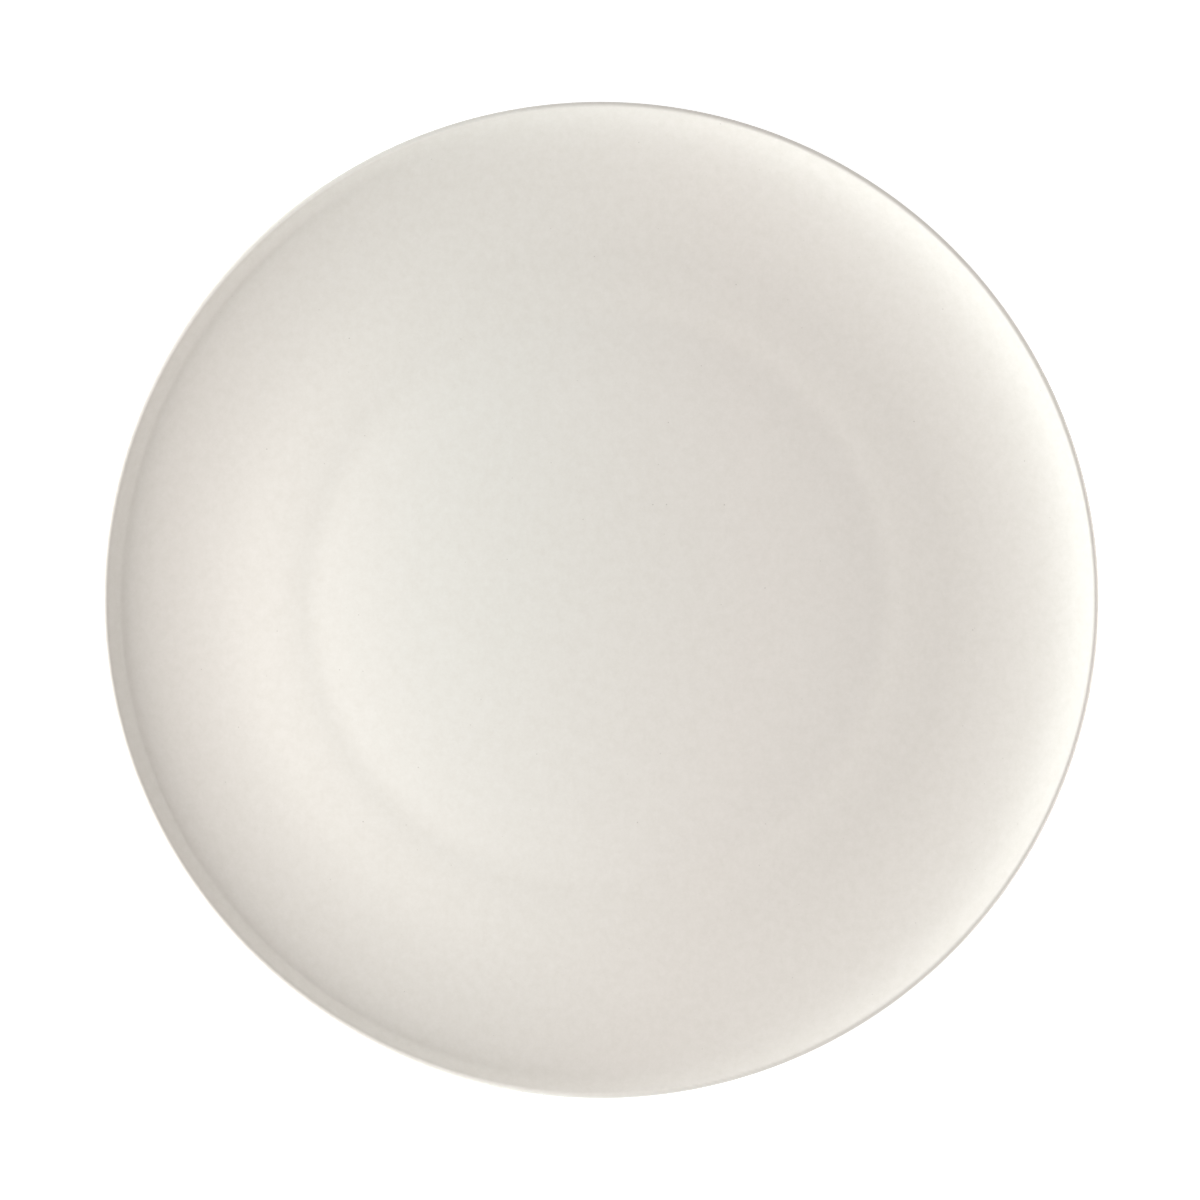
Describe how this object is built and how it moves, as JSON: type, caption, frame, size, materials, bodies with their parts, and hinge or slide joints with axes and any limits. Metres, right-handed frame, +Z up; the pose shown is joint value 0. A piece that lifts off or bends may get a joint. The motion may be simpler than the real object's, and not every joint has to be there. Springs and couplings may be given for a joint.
{
  "type": "charger plate",
  "caption": "Round coupe charger plate in satin off-white glazed stoneware, with a flat well, a gently rising flange, a wall that curves up to a rounded lip, and a bare foot ring below.",
  "frame": {"origin": "middle of the foot ring's bearing edge, on the table", "axes": "+Z up along the plate's axis of turning, from the foot ring to the open face; X and Y are alike"},
  "size_m": [0.32, 0.32, 0.03],
  "materials": {
    "stoneware": "bare fired clay, matte",
    "glaze": "satin off-white glaze with sparse fine specks"
  },
  "bodies": {
    "root": {"stoneware_body": "stoneware", "glaze_coat": "glaze", "base_glaze": "glaze"}
  },
  "joints": []
}
